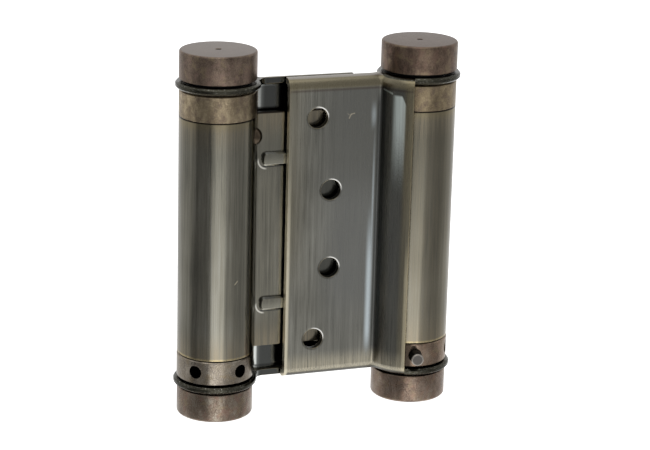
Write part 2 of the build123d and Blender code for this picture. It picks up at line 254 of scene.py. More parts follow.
class Finish:
    """One procedural finish. Its patterns read the piece's own coordinates, in millimetres."""

    def __init__(self, name, turn=1):
        """A turn of -1 reads the coordinates half round about the upright axis."""
        self.material = bpy.data.materials.new(name)
        self.material.use_nodes = True
        self.tree = self.material.node_tree
        self.tree.nodes.clear()
        place = self.node("ShaderNodeTexCoord")
        middle = (0.0, 0.0, -MIDDLE_HEIGHT)
        scaled = self.vector("MULTIPLY", place.outputs["Object"], (turn / MM, turn / MM, 1 / MM))
        self.place = self.vector("ADD", scaled, middle)
        self.facing = self.vector("MULTIPLY", place.outputs["Normal"], (turn, turn, 1))

    def node(self, kind, **settings):
        """A new shader node with its settings."""
        made = self.tree.nodes.new(kind)
        for key, value in settings.items():
            setattr(made, key, value)
        return made

    def feed(self, socket, value):
        """Link an output to a socket, or set the socket to a plain value."""
        if isinstance(value, bpy.types.NodeSocket):
            self.tree.links.new(value, socket)
        else:
            socket.default_value = value

    def vector(self, operation, first, second):
        """Work on two vectors."""
        made = self.node("ShaderNodeVectorMath", operation=operation)
        self.feed(made.inputs[0], first)
        self.feed(made.inputs[1], second)
        return made.outputs["Value"] if operation == "DOT_PRODUCT" else made.outputs["Vector"]

    def number(self, operation, first, second=0.0, third=0.0):
        """Work on one, two or three numbers."""
        made = self.node("ShaderNodeMath", operation=operation)
        for socket, value in zip(made.inputs, (first, second, third)):
            self.feed(socket, value)
        return made.outputs["Value"]

    def axes(self, of):
        """The three parts of a vector."""
        split = self.node("ShaderNodeSeparateXYZ")
        self.feed(split.inputs[0], of)
        return split.outputs["X"], split.outputs["Y"], split.outputs["Z"]

    def product(self, *values):
        """All the values multiplied together."""
        total = values[0]
        for value in values[1:]:
            total = self.number("MULTIPLY", total, value)
        return total

    def distance(self, first, second, first_centre, second_centre=0.0):
        """The distance of a point from a centre, over two of the axes."""
        across = self.number("SUBTRACT", first, first_centre)
        along = self.number("SUBTRACT", second, second_centre)
        square = self.number("MULTIPLY_ADD", across, across, self.number("MULTIPLY", along, along))
        return self.number("SQRT", square)

    def angle(self, out, ahead):
        """The angle of a point round an axis, in degrees."""
        return self.number("MULTIPLY", self.number("ARCTAN2", ahead, out), 180.0 / math.pi)

    def noise(self, stretch, detail, roughness):
        """Noise whose features are about one unit over each stretch, along X, Y and Z."""
        made = self.node("ShaderNodeTexNoise")
        self.feed(made.inputs["Vector"], self.vector("MULTIPLY", self.place, stretch))
        made.inputs["Scale"].default_value = 1.0
        made.inputs["Detail"].default_value = detail
        made.inputs["Roughness"].default_value = roughness
        return made.outputs["Fac"]

    def fade(self, value, low, high, start=0.0, end=1.0):
        """A smooth step of the value from one level to another."""
        made = self.node("ShaderNodeMapRange", interpolation_type="SMOOTHSTEP")
        self.feed(made.inputs["Value"], value)
        labels = ("From Min", "From Max", "To Min", "To Max")
        for label, number in zip(labels, (low, high, start, end)):
            self.feed(made.inputs[label], number)
        return made.outputs["Result"]

    def near(self, value, centre, reach):
        """One at the centre, falling smoothly to nothing at the reach on either side."""
        away = self.number("ABSOLUTE", self.number("SUBTRACT", value, centre))
        return self.fade(away, 0.0, reach, 1.0, 0.0)

    def ramp(self, factor, stops):
        """A colour by the factor, through the colours of the stops."""
        made = self.node("ShaderNodeValToRGB")
        self.feed(made.inputs["Fac"], factor)
        elements = made.color_ramp.elements
        while len(elements) < len(stops):
            elements.new(0.5)
        for element, (position, colour) in zip(elements, stops):
            element.position = position
            element.color = (*colour, 1.0)
        return made.outputs["Color"]

    def blend(self, factor, first, second):
        """The first colour, with the factor's share of the second over it."""
        made = self.node("ShaderNodeMix", data_type="RGBA")
        self.feed(made.inputs["Factor"], factor)
        for socket, value in ((made.inputs[6], first), (made.inputs[7], second)):
            self.feed(socket, (*value, 1.0) if isinstance(value, tuple) else value)
        return made.outputs[2]

    def stroke(self, first, second, start, end, width):
        """A thin mark between two points of the plane of two axes, soft at its sides."""
        along = (end[0] - start[0], end[1] - start[1])
        length = math.hypot(*along)
        unit = (along[0] / length, along[1] / length)
        over = self.number("MULTIPLY", self.number("SUBTRACT", first, start[0]), unit[0])
        over = self.number("MULTIPLY_ADD", self.number("SUBTRACT", second, start[1]), unit[1], over)
        over = self.number("MINIMUM", self.number("MAXIMUM", over, 0.0), length)
        nearest = (self.number("MULTIPLY_ADD", over, unit[0], start[0]),
                   self.number("MULTIPLY_ADD", over, unit[1], start[1]))
        return self.fade(self.distance(first, second, *nearest), width, 0.4 * width)

    def edges(self, width):
        """How near a point is to a sharp edge, from how far the rounded normal leans there."""
        rounded = self.node("ShaderNodeBevel", samples=6)
        rounded.inputs["Radius"].default_value = width * MM
        surface = self.node("ShaderNodeNewGeometry")
        lean = self.vector("DOT_PRODUCT", rounded.outputs["Normal"], surface.outputs["Normal"])
        return self.fade(lean, 0.995, 0.80)

    def metal(self, colour, roughness, height, depth):
        """Plated metal with slightly rounded edges and a fine relief of a depth in millimetres."""
        shader = self.node("ShaderNodeBsdfPrincipled")
        shader.inputs["Metallic"].default_value = 1.0
        self.feed(shader.inputs["Base Color"], colour)
        self.feed(shader.inputs["Roughness"], roughness)
        rounded = self.node("ShaderNodeBevel", samples=6)
        rounded.inputs["Radius"].default_value = EDGE_ROUND * MM
        relief = self.node("ShaderNodeBump")
        relief.inputs["Strength"].default_value = 1.0
        relief.inputs["Distance"].default_value = depth * MM
        self.feed(relief.inputs["Height"], height)
        self.feed(relief.inputs["Normal"], rounded.outputs["Normal"])
        self.feed(shader.inputs["Normal"], relief.outputs["Normal"])
        out = self.node("ShaderNodeOutputMaterial")
        self.feed(out.inputs["Surface"], shader.outputs["BSDF"])
        return self.material


def brushing(finish):
    """Fine upright hair lines, broader streaks and soft clouds, and the tone they make together."""
    hairs = finish.noise((9.0, 9.0, 0.10), 4.0, 0.7)
    streaks = finish.noise((1.6, 1.6, 0.03), 3.0, 0.6)
    clouds = finish.noise((0.12, 0.12, 0.05), 2.0, 0.5)
    tone = finish.number("MULTIPLY_ADD", hairs, 0.36, finish.number("MULTIPLY", streaks, 0.34))
    tone = finish.number("MULTIPLY_ADD", clouds, 0.35, tone)
    return hairs, streaks, tone


def worn_edges(finish, colour, streaks, share):
    """The colour with its sharp edges rubbed through to pale brass, more in some streaks."""
    wear = finish.product(finish.edges(0.32), finish.fade(streaks, 0.3, 0.6, 0.35, 0.9), share)
    return finish.blend(wear, colour, WORN_BRASS)


def wrap_shine(finish, colour, angle, up, on_wrap, streaks):
    """The colour with the wrap's painted light and shade, its gold and its rolled edge, and the
    pale zone's share: painted shade past the crease and a darker painted band beyond it, a pale
    zone painted as a sheen with a painted glint over its top, the gold beyond and the rolled edge."""
    # Painted shade on the wrap just past the crease
    shade = finish.product(on_wrap, finish.fade(angle, SHADE_END, SHADE_END - 4.0, 0.0, 0.6))
    colour = finish.blend(shade, colour, PAINTED_SHADE)
    # Painted shade: a darker band across the wrap beyond it
    darker = finish.product(on_wrap, finish.fade(angle, -148.0, -124.0, 0.0, 0.6))
    colour = finish.blend(darker, colour, OLIVE_DARK)
    grain = finish.noise((5.0, 5.0, 3.0), 3.0, 0.7)
    top = finish.fade(angle, PALE_TO - 6.0, PALE_TO + 2.0, PALE_TOP, PALE_TOP - 2.4)
    # A pale bluish zone painted on the wrap as a sheen
    pale = finish.product(
        finish.fade(angle, PALE_FROM - 3.0, PALE_FROM + 3.0),
        finish.fade(angle, PALE_TO + 1.5, PALE_TO - 1.5),
        finish.fade(finish.number("MULTIPLY_ADD", grain, 16.0, up), 16.0, 36.0),
        finish.fade(finish.number("SUBTRACT", top, up), 0.0, 0.6),
        finish.fade(streaks, 0.35, 0.55, 0.75, 1.0),
        on_wrap,
    )
    colour = finish.blend(pale, colour, SHEEN_BLUE)
    golden = finish.product(
        finish.fade(angle, PALE_TO - 4.0, PALE_TO + 3.0, 0.0, 0.6),
        finish.fade(up, -8.0, 20.0, 0.65, 1.0),
        on_wrap,
    )
    colour = finish.blend(golden, colour, DULL_BRASS)
    # A thin painted glint over the top of the pale zone
    start, end = (PALE_FROM - 17.0, PALE_TOP + 0.8), (PALE_FROM - 2.0, PALE_TOP)
    glint = finish.product(finish.stroke(angle, up, start, end, 0.35), on_wrap, 0.8)
    colour = finish.blend(glint, colour, SHEEN_BLUE)
    rolled = finish.product(
        finish.fade(angle, WRAP_EDGE - 5.5, WRAP_EDGE - 3.0),
        finish.fade(up, 0.0, -14.0, 0.0, 0.85),
        on_wrap,
    )
    return finish.blend(rolled, colour, EDGE_GOLD), pale


def plate_wear_and_light(finish, colour, x, up, hairs):
    """The colour with the plate's marks and painted light: a blue line and spot painted as
    highlights by the crease, painted shade in the crease, the warm free side, the worn foot over
    painted shade along its bend, the gilt head with a brown line under it, and the rubbed free
    edge, painted brighter toward the foot as light."""
    # Painted highlight: a blue line and spot by the crease
    spot = finish.product(finish.near(x, 13.2, 1.0), finish.near(up, 28.5, 4.5), 0.5)
    narrow = finish.product(finish.near(x, 13.55, 0.45), finish.fade(up, 28.0, 8.0, 0.0, 0.55))
    broad = finish.product(finish.near(x, 13.1, 1.25), finish.fade(up, 8.0, -12.0))
    line = finish.product(finish.number("MAXIMUM", narrow, broad), finish.fade(up, -35.5, -27.0))
    colour = finish.blend(finish.number("MAXIMUM", line, spot), colour, HIGHLIGHT_BLUE)
    # Painted shade in the crease near the top
    crease = finish.product(finish.near(x, 14.5, 0.8), finish.fade(up, 36.0, 31.0, 0.0, 0.8))
    colour = finish.blend(crease, colour, PAINTED_SHADE)
    warm = finish.product(finish.fade(x, -3.0, FREE_EDGE, 0.0, 0.7), finish.fade(up, -20.0, 0.0))
    colour = finish.blend(warm, colour, finish.blend(hairs, OLIVE_DARK, WARM_OLIVE))
    in_hairs = finish.fade(hairs, 0.35, 0.62, 0.2, 0.8)
    foot = finish.product(finish.fade(up, FOOT_TOP, FOOT_TOP - 4.5), in_hairs)
    colour = finish.blend(foot, colour, CREAM)
    # Painted shade along the foot's bend
    bend = finish.fade(up, FOOT_BEND, FOOT_BEND - 0.7, 0.0, 0.85)
    colour = finish.blend(bend, colour, PAINTED_SHADE)
    head = finish.fade(up, HEAD_BEND, HEAD_BEND + 1.0, 0.0, 0.66)
    colour = finish.blend(head, colour, DULL_BRASS)
    under_head = finish.product(finish.near(up, HEAD_BEND + 0.1, 0.5), 0.55)
    colour = finish.blend(under_head, colour, BROWN_DARK)
    # The rubbed free edge: worn to pale gold, with painted light making it brighter toward the foot
    at_edge = finish.fade(x, FREE_EDGE + 1.1, FREE_EDGE + 0.5)
    rubbed = finish.product(at_edge, finish.fade(up, 26.0, -14.0, 0.05, 0.9))
    return finish.blend(rubbed, colour, PALE_GOLD)


def screw_holes(finish, colour, x, up):
    """The colour with a painted highlight as a bright crescent by each hole and painted shade on
    the wall in it, and how far the metal is pressed in round them."""
    pressed = 0.0
    for hole_x, hole_up in HOLES:
        ring = finish.distance(x, up, hole_x, hole_up)
        right = finish.number("SUBTRACT", x, hole_x)
        lean = finish.number("ADD", right, finish.number("SUBTRACT", up, hole_up))
        # Painted highlight: a bright crescent by the hole
        outside = finish.fade(ring, HOLE_RADIUS + 0.32, HOLE_RADIUS + 0.18)
        crescent = finish.product(outside, finish.fade(lean, 1.8, 3.2))
        colour = finish.blend(crescent, colour, HOLE_GLINT)
        # Painted shade on the hole's wall
        wall = finish.fade(ring, HOLE_RADIUS + 0.05, HOLE_RADIUS + 0.01)
        colour = finish.blend(wall, colour, PAINTED_SHADE)
        pressed = finish.number("ADD", finish.fade(ring, HOLE_RADIUS + 0.45, HOLE_RADIUS), pressed)
    return colour, pressed


def leaf_brass(name, turn, scratches=()):
    """A swinging leaf: brushed antique brass outside, worn warm at its top bend and its foot, with
    painted light and shade on the plate and the wrap, a pale zone painted as a sheen on the wrap,
    and dark and glossy inside, with painted highlights there, and on its ears, with painted glints."""
    finish = Finish(name, turn)
    x, y, up = finish.axes(finish.place)
    facing_x, facing_y, facing_up = finish.axes(finish.facing)
    high = finish.number("ABSOLUTE", up)
    hairs, streaks, tone = brushing(finish)

    colour = finish.ramp(tone, ((0.41, OLIVE_DARK), (0.53, OLIVE_MIDDLE), (0.66, OLIVE_PALE)))
    # A bluish steel tone toward the plate's right, darker than the olive, which also paints shade
    # there; it weakens toward the foot
    rising = finish.fade(up, -32.0, -12.0, 0.3, 1.0)
    blue = finish.product(finish.fade(x, -5.0, 7.0, 0.0, 0.85), rising)
    colour = finish.blend(blue, colour, finish.blend(hairs, STEEL_BLUE, OLIVE_MIDDLE))
    # Painted shade: the plate darker toward its upper right
    dim = finish.product(finish.fade(x, -3.0, 5.0), finish.fade(up, 4.0, 18.0, 0.0, 0.35))
    colour = finish.blend(dim, colour, OLIVE_DARK)

    angle = finish.angle(finish.number("SUBTRACT", x, AXIS_X), y)
    on_wrap = finish.fade(x, WRAP_START, WRAP_START + 0.4)
    colour, pale = wrap_shine(finish, colour, angle, up, on_wrap, streaks)
    colour = plate_wear_and_light(finish, colour, x, up, hairs)
    for start, end, share in scratches:
        mark = finish.product(finish.stroke(x, up, start, end, SCRATCH_WIDTH), share)
        colour = finish.blend(mark, colour, CREAM)
    colour, pressed = screw_holes(finish, colour, x, up)

    inside = finish.fade(facing_y, 0.2, 0.5)
    # Painted highlights on the inner face near the bend, over its dark colour
    gleam = finish.blend(finish.near(x, 14.8, 1.5), INSIDE_DARK, INSIDE_SOFT_HIGHLIGHT)
    gleam = finish.blend(finish.near(x, 15.0, 0.8), gleam, INSIDE_HIGHLIGHT)
    colour = finish.blend(inside, colour, gleam)
    at_edge = finish.fade(x, FREE_EDGE + 0.5, FREE_EDGE)
    sheared = finish.product(finish.fade(facing_x, -0.6, -0.9), at_edge)
    colour = finish.blend(sheared, colour, CREAM)
    level = finish.fade(finish.number("ABSOLUTE", facing_up), 0.75, 0.95)
    lip = finish.product(level, finish.fade(high, LIP_LEVEL, LIP_LEVEL + 0.2))
    colour = finish.blend(lip, colour, LIP_GREY)
    unbent = finish.number("SUBTRACT", 1.0, finish.near(x, 14.8, 1.6))
    colour = worn_edges(finish, colour, streaks, unbent)
    by_ear = finish.fade(finish.distance(x, y, AXIS_X), EAR_RADIUS + 0.4, EAR_RADIUS + 0.1)
    ear = finish.product(by_ear, finish.fade(high, EAR_LEVEL, EAR_LEVEL + 0.3))
    # Painted glints: bright sparks over the ears' dark colour
    sparks = finish.noise((3.0, 3.0, 4.0), 4.0, 0.75)
    sparkle = finish.ramp(sparks, ((0.50, EAR_DARK), (0.62, OLIVE_DARK), (0.72, HIGHLIGHT_CREAM)))
    colour = finish.blend(ear, colour, sparkle)

    smooth = finish.number("MAXIMUM", inside, ear)
    roughness = finish.fade(hairs, 0.3, 0.7, 0.24, 0.38)
    roughness = finish.number("MULTIPLY", roughness, finish.fade(smooth, 0.0, 1.0, 1.0, 0.5))
    roughness = finish.number("MULTIPLY_ADD", pale, 0.26, roughness)
    relief = finish.number("MULTIPLY", tone, finish.fade(smooth, 0.0, 1.0, 1.0, 0.2))
    relief = finish.number("MULTIPLY_ADD", finish.product(sparks, ear), 1.5, relief)
    relief = finish.number("MULTIPLY_ADD", pressed, -12.0, relief)
    return finish.metal(colour, roughness, relief, 0.015)


def pressed_ribs(finish, colour, out, y, up, on_web):
    """The web's ribs, with painted light and shade: painted shade at the upper edge and the end, a
    painted reflection paler toward the lower edge with a painted highlight along it, a painted
    shadow line under the rib and a painted highlight curving round its lower outer corner."""
    over_web = finish.fade(finish.number("ABSOLUTE", y), WEB_FACE + 0.04, WEB_FACE + 0.14)
    raised = finish.product(over_web, on_web)
    for level in RIB_LEVELS:
        rise = finish.number("SUBTRACT", up, level)
        within = finish.fade(finish.number("ABSOLUTE", rise), RIB_REACH + 0.2, RIB_REACH)
        proud = finish.product(raised, within)
        # Painted reflection: the rib body paler toward its lower edge
        body = finish.product(proud, finish.fade(rise, 1.0, -1.4, 0.0, 0.6))
        colour = finish.blend(body, colour, RIB_SHEEN)
        # Painted shade along the upper edge and the end
        end = finish.fade(out, RIB_END, RIB_END + 0.2)
        edge = finish.number("MAXIMUM", finish.fade(rise, 1.2, 1.4), end)
        colour = finish.blend(finish.product(edge, proud, 0.75), colour, PAINTED_SHADE)
        # Painted highlight along the lower edge
        before_end = finish.fade(out, RIB_END + 0.3, RIB_END)
        foot = finish.product(finish.fade(rise, -1.15, -1.35), proud, before_end)
        colour = finish.blend(foot, colour, HIGHLIGHT_CREAM)
        # Painted shadow line under the rib
        before_end = finish.fade(out, RIB_END + 0.5, RIB_END + 0.1)
        under = finish.product(finish.near(rise, -2.0, 0.35), before_end, on_web)
        colour = finish.blend(under, colour, PAINTED_SHADE)
        # Painted highlight round the lower outer corner
        curve = finish.product(
            finish.near(finish.distance(out, rise, 13.6, -0.45), RIB_REACH, 0.35),
            finish.fade(out, 13.2, 14.2),
            finish.fade(rise, 0.4, -0.8),
        )
        colour = finish.blend(curve, colour, HIGHLIGHT_CREAM)
    return colour


def tube_brass(name, half_tube):
    """The centre leaf: smoother brushed brass, worn warm at both ends of the tubes and browner on
    the right tube, with painted shade on the right tube toward its top, on the web toward its top
    and bottom and, darkest, on the web behind each swinging leaf, and painted light and shade on
    the ribs."""
    finish = Finish(name)
    x, y, up = finish.axes(finish.place)
    high = finish.number("ABSOLUTE", up)
    out = finish.number("ABSOLUTE", x)
    hairs, streaks, tone = brushing(finish)
    colour = finish.ramp(tone, ((0.38, OLIVE_DARK), (0.53, TUBE_OLIVE), (0.72, OLIVE_PALE)))

    on_right = finish.fade(x, 14.0, 16.0)
    # Painted shade: the right tube darker toward its top
    right_tube_shade = finish.product(on_right, finish.fade(up, -15.0, 14.0, 0.0, 0.62))
    colour = finish.blend(right_tube_shade, colour, OLIVE_DARK)
    browned = finish.product(on_right, finish.fade(hairs, 0.35, 0.6, 0.15, 0.5))
    colour = finish.blend(browned, colour, TUBE_BROWN)

    on_web = finish.fade(out, WEB_END + 0.8, WEB_END)
    # Painted shade: the web darker toward its top and bottom
    to_top = finish.fade(up, 12.0, 20.0, 0.0, 0.5)
    ends = finish.number("MAXIMUM", to_top, finish.fade(up, -21.0, -26.0, 0.0, 0.6))
    colour = finish.blend(finish.product(ends, on_web), colour, OLIVE_DARK)
    # Painted shade on the web where the swinging leaves cover it
    outward = finish.product(x, finish.number("SIGN", y), -1.0)
    covered = finish.product(finish.fade(outward, -8.5, -6.0, 0.0, 0.75), on_web)
    colour = finish.blend(covered, colour, PAINTED_SHADE)

    in_streaks = finish.fade(streaks, 0.35, 0.6, 0.3, 0.9)
    warmth = finish.product(finish.fade(high, half_tube - 9.0, half_tube), in_streaks)
    colour = finish.blend(warmth, colour, finish.blend(hairs, WARM_DARK, WARM_PALE))
    on_tube = finish.fade(out, 15.5, 16.5)
    rim = finish.product(
        finish.fade(up, 0.7 - half_tube, 0.2 - half_tube),
        finish.fade(streaks, 0.3, 0.55, 0.3, 0.9),
        on_tube,
    )
    colour = finish.blend(rim, colour, WORN_BRASS)
    gilt = finish.product(finish.fade(up, half_tube - 3.0, half_tube - 0.6, 0.0, 0.6), on_tube)
    colour = finish.blend(gilt, colour, DULL_BRASS)
    colour = finish.blend(finish.fade(up, half_tube - 0.5, half_tube - 0.3), colour, SEAM_AND_SHADOW_DARK)
    colour = pressed_ribs(finish, colour, out, y, up, on_web)
    scratch = finish.stroke(x, up, *TUBE_SCRATCH, SCRATCH_WIDTH)
    in_front = finish.fade(y, 1.0, -1.0)
    colour = finish.blend(finish.product(scratch, in_front), colour, CREAM)
    return finish.metal(colour, finish.fade(hairs, 0.3, 0.7, 0.13, 0.24), tone, 0.008)


def turned_plating(name, seam=None):
    """Turned and plated: dark and light speckle over broad upright patches, stains of another
    tint and a plainer top face with painted shade in its turning mark. A seam level adds, for a
    tension collar, the dark line there, painted shade inside its holes and a painted shadow beside
    the leaf's wrap."""
    (dark, middle, pale), stain, top, smooth = TURNED[name]
    finish = Finish(name)
    x, y, up = finish.axes(finish.place)
    _, _, facing_up = finish.axes(finish.facing)
    speckle = finish.noise((4.5, 4.5, 3.4), 5.0, 0.8)
    patches = finish.noise((0.38, 0.38, 0.20), 3.0, 0.6)
    stains = finish.noise((0.55, 0.55, 0.40), 3.0, 0.6)
    gilding = finish.noise((0.30, 0.42, 0.34), 3.0, 0.7)
    grit = finish.noise((7.5, 7.5, 6.0), 3.0, 0.7)
    tone = finish.number("MULTIPLY_ADD", speckle, 0.55, finish.number("MULTIPLY", patches, 0.45))
    colour = finish.ramp(tone, ((0.38, dark), (0.50, middle), (0.64, pale)))
    colour = finish.blend(finish.fade(stains, 0.48, 0.62, 0.0, 0.65), colour, stain)
    colour = finish.blend(finish.fade(gilding, 0.52, 0.66, 0.0, 0.6), colour, TAN_MIDDLE)
    colour = finish.blend(finish.fade(grit, 0.45, 0.37, 0.0, 0.75), colour, dark)
    colour = finish.blend(finish.fade(grit, 0.57, 0.66, 0.0, 0.75), colour, pale)

    flat = finish.fade(facing_up, 0.85, 0.98, 0.0, 0.85)
    plain = finish.blend(finish.fade(speckle, 0.3, 0.7), top, middle)
    colour = finish.blend(flat, colour, plain)
    out = finish.number("ABSOLUTE", x)
    centre = finish.distance(out, y, AXIS_X)
    # Painted shade in the turning mark's dimple
    mark = finish.fade(centre, DIMPLE_RADIUS, DIMPLE_RADIUS - 0.15)
    colour = finish.blend(mark, colour, PAINTED_SHADE)
    if seam is not None:
        # Painted shadow of the leaf's wrap on the collar beside it
        ahead = finish.product(y, finish.number("SIGN", x))
        angle = finish.angle(finish.number("SUBTRACT", out, AXIS_X), ahead)
        past_wrap = finish.fade(angle, -103.0, -110.0, 0.0, 0.9)
        darker = finish.product(past_wrap, finish.fade(angle, -136.0, -126.0))
        colour = finish.blend(darker, colour, SEAM_AND_SHADOW_DARK)
        colour = finish.blend(finish.fade(up, seam - 0.45, seam - 0.25), colour, SEAM_AND_SHADOW_DARK)
        # Painted shade inside the collar, seen through its holes
        in_hole = finish.fade(centre, BAND_RADIUS - 0.1, BAND_RADIUS - 0.35)
        colour = finish.blend(in_hole, colour, PAINTED_SHADE)
    roughness = finish.fade(speckle, 0.3, 0.7, smooth + 0.14, smooth)
    return finish.metal(colour, roughness, speckle, 0.011)


def pin_steel(name, node):
    """A pin, dark grey on its outer end with a paler rubbed rim round it, and painted shade along
    its sides.
    """
    finish = Finish(name)
    lowest, highest = (np.array(corner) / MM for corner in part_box(node))
    middle = (lowest + highest) / 2 - np.array((0.0, 0.0, MIDDLE_HEIGHT))
    away = middle - np.array((math.copysign(AXIS_X, middle[0]), 0.0, middle[2]))
    away = tuple((away / np.linalg.norm(away)).tolist())
    across = (-away[1], away[0], 0.0)
    _, _, up = finish.axes(finish.place)
    sideways = finish.vector("DOT_PRODUCT", finish.place, across)
    from_axis = finish.distance(sideways, up, float(np.dot(middle, across)), float(middle[2]))
    outer = finish.fade(finish.vector("DOT_PRODUCT", finish.facing, away), 0.3, 0.6)
    rim = finish.product(outer, finish.fade(from_axis, PIN_RADIUS - 0.4, PIN_RADIUS - 0.25))
    grain = finish.noise((4.0, 4.0, 4.0), 3.0, 0.6)
    # Painted shade on the pin's sides; its outer end dark grey with a worn pale rim
    colour = finish.blend(rim, finish.blend(outer, PAINTED_SHADE, PIN_GREY), PIN_RIM)
    return finish.metal(colour, finish.fade(grain, 0.3, 0.7, 0.35, 0.5), grain, 0.01)


def plain_steel(name, colour, roughness):
    """Bare or oiled steel with a faint turned grain."""
    finish = Finish(name)
    grain = finish.noise((1.0, 1.0, 7.0), 3.0, 0.6)
    darker = tuple(part * 0.7 for part in colour)
    shade = finish.ramp(grain, ((0.35, darker), (0.65, colour)))
    mottled = finish.fade(grain, 0.3, 0.7, roughness, roughness + 0.1)
    return finish.metal(shade, mottled, grain, 0.01)


def paint(node, material):
    """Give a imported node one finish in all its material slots."""
    mesh_object = frame["nodes"][node]
    for material_slot in mesh_object.material_slots:
        material_slot.material = material
    if not mesh_object.material_slots:
        mesh_object.data.materials.append(material)


def make_piece(name, points, faces, material, replaced):
    """A smooth mesh piece from points in millimetres, with its finish and the node it replaces.
    Points that lie in the same place become one."""
    mesh = bpy.data.meshes.new(name)
    mesh.from_pydata((points * MM).tolist(), [], faces.tolist())
    joined = bmesh.new()
    joined.from_mesh(mesh)
    bmesh.ops.remove_doubles(joined, verts=joined.verts, dist=SAME_PLACE * MM)
    joined.to_mesh(mesh)
    joined.free()
    mesh.polygons.foreach_set("use_smooth", np.ones(len(mesh.polygons), dtype=bool))
    mesh.set_sharp_from_angle(angle=math.radians(SHARP_ANGLE))
    mesh.materials.append(material)
    mesh.update()
    piece = bpy.data.objects.new(name, mesh)
    bpy.context.scene.collection.objects.link(piece)
    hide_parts(replaced)
    return piece


def grid_faces(rows, columns):
    """Four-sided faces between neighbouring rows of a grid whose columns close on themselves."""
    row, column = np.meshgrid(np.arange(rows - 1), np.arange(columns), indexing="ij")
    following = (column + 1) % columns
    corners = (row * columns + column, row * columns + following,
               (row + 1) * columns + following, (row + 1) * columns + column)
    return np.stack(corners, axis=-1).reshape(-1, 4)


def arc(centre, radius, start, end):
    """Points of a circle in the (distance from the axis, height) plane, by angles in degrees."""
    turn = np.radians(np.linspace(start, end, ARC_POINTS))
    return np.array(centre) + radius * np.stack((np.cos(turn), np.sin(turn)), axis=1)


def cap_profile(radius, low, high, dimple):
    """The outline of half a cap that faces up, from the end of its bore out and over to its top:
    the bore, the journal, the underside, a rounded foot, the side, a quarter round rim, the flat
    top and, where there is one, a round-bottomed dimple."""
    face = high - CAP_HEIGHT
    foot, rim = CAP_FOOT_ROUND, CAP_RIM_ROUND
    inner = [(0.0, face + BORE_DEPTH), (BORE_RADIUS, face + BORE_DEPTH), (BORE_RADIUS, low),
             (JOURNAL_RADIUS, low), (JOURNAL_RADIUS, face)]
    parts = [np.array(inner), arc((radius - foot, face + foot), foot, -90, 0),
             arc((radius - rim, high - rim), rim, 0, 90)]
    if dimple:
        reach = (DIMPLE_RADIUS**2 + DIMPLE_DEPTH**2) / (2 * DIMPLE_DEPTH)
        lowest = math.degrees(math.asin(DIMPLE_RADIUS / reach))
        parts.append(arc((0.0, high + reach - DIMPLE_DEPTH), reach, -90 + lowest, -90))
    else:
        parts.append(np.array([(0.0, high)]))
    return np.concatenate(parts)


def turned_cap(node, material, dimple, facing):
    """A cap turned about its barrel's axis: each point of the profile goes once round, at its
    distance times the cosine and sine of the angle. Facing is 1 for up and -1 for down."""
    lowest, highest = (np.array(corner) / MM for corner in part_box(node))
    centre = (lowest + highest) / 2
    radius = (highest[0] - lowest[0]) / 2
    half_height = (highest[2] - lowest[2]) / 2
    profile = cap_profile(radius, -half_height, half_height, dimple)
    turn = np.linspace(0, 2 * np.pi, AROUND, endpoint=False)
    x = centre[0] + np.outer(profile[:, 0], np.cos(turn))
    y = centre[1] + np.outer(profile[:, 0], np.sin(turn)) * facing
    z = centre[2] + np.outer(profile[:, 1], np.ones(AROUND)) * facing
    points = np.stack((x, y, z), axis=-1).reshape(-1, 3)
    faces = grid_faces(len(profile), AROUND)
    piece = make_piece(node + "_turned", points, faces, material, node)
    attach(piece, "centre")


def closed_tube(rings):
    """Points and faces of a tube through rings of points, each end closed towards its middle."""
    middles = rings.mean(axis=1, keepdims=True).repeat(rings.shape[1], axis=1)
    rings = np.concatenate((middles[:1], rings, middles[-1:]))
    return rings.reshape(-1, 3), grid_faces(len(rings), rings.shape[1])


def spring_half(name, node, facing, first_turn, leg_low, material):
    """Half of a torsion spring. The corners of the square wire lie half a wire inside and outside
    the coil's radius and half a wire under and over its level. The level climbs in proportion to
    the turns, and the angle round the barrel falls by a whole circle a turn. The leg is a round
    bar at the coil's radius: its points are its middle plus its radius times the cosine and sine
    of the angle, at its lower and upper end."""
    half_turns = SPRING_TURNS // 2
    turns = first_turn + np.linspace(0, half_turns, half_turns * SPRING_STEPS + 1)
    level = COIL_LOW + (COIL_HIGH - COIL_LOW) * turns / SPRING_TURNS
    half = SPRING_WIRE / 2
    out = SPRING_RADIUS + np.array((-half, half, half, -half))
    up = np.array((-half, -half, half, half))
    angle = -2 * np.pi * turns[:, None]
    coil_x, coil_y = AXIS_X + out * np.cos(angle), out * np.sin(angle)
    coil_points, coil_faces = closed_tube(np.stack((coil_x, coil_y, level[:, None] + up), axis=-1))

    angle = np.linspace(0, 2 * np.pi, LEG_SIDES, endpoint=False)
    leg_x = AXIS_X + SPRING_RADIUS + SPRING_LEG_RADIUS * np.cos(angle)
    leg_y = SPRING_LEG_RADIUS * np.sin(angle)
    ends = np.array((leg_low, leg_low + SPRING_LEG))[:, None]
    leg = np.stack(np.broadcast_arrays(leg_x, leg_y, ends), axis=-1)
    leg_points, leg_faces = closed_tube(leg)

    points = np.concatenate((coil_points, leg_points))
    points = points * (facing, facing, 1) + (0, 0, MIDDLE_HEIGHT)
    faces = np.concatenate((coil_faces, leg_faces + len(coil_points)))
    return make_piece(name, points, faces, material, node)


def twisting_spring(side, facing, material):
    """A torsion spring in two halves: the upper half lies between the plug's body and the leaf, and
    the lower half between the leaf and the tension collar."""
    node = f"{side}_torsion_spring"
    upper = spring_half(node + "_upper", node, facing, SPRING_TURNS / 2, COIL_HIGH, material)
    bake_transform(upper)
    lower = spring_half(node + "_lower", node, facing, 0, COIL_LOW - SPRING_LEG, material)
    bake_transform(lower)


